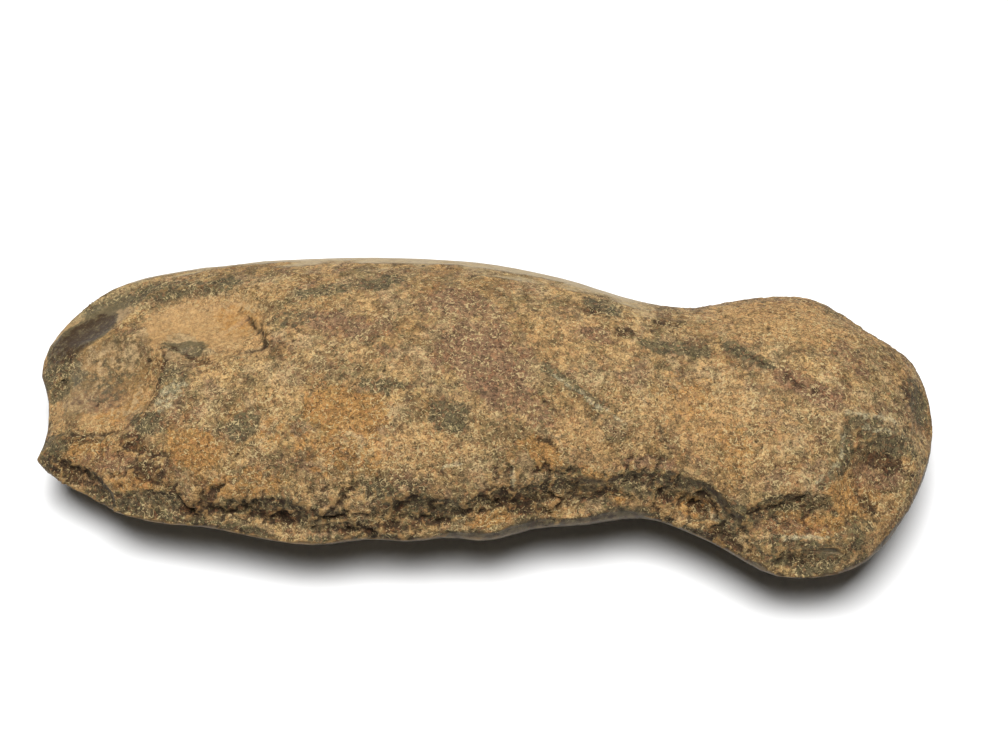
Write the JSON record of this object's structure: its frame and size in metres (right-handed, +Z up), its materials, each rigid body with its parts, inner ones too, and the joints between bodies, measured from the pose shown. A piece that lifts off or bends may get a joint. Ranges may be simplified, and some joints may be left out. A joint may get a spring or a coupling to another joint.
{
  "type": "polished stone axe",
  "caption": "Waisted stone axe head, ground to a flat lens section with a broken cutting edge, a haft waist and flaked sides, lying on its flatter face.",
  "frame": {"origin": "under the middle of the head's bounding box, on the surface it rests on", "axes": "+X along the head from the cutting edge to the butt, +Y across the width to the far side, +Z up through the thickness"},
  "size_m": [0.1908, 0.0734, 0.0326],
  "materials": {
    "stone": "fine-grained stone with a tan and ochre burial patina, worn smooth on the ground faces, rough in the flake scars"
  },
  "bodies": {
    "root": {"axe_head": "stone"}
  },
  "joints": []
}
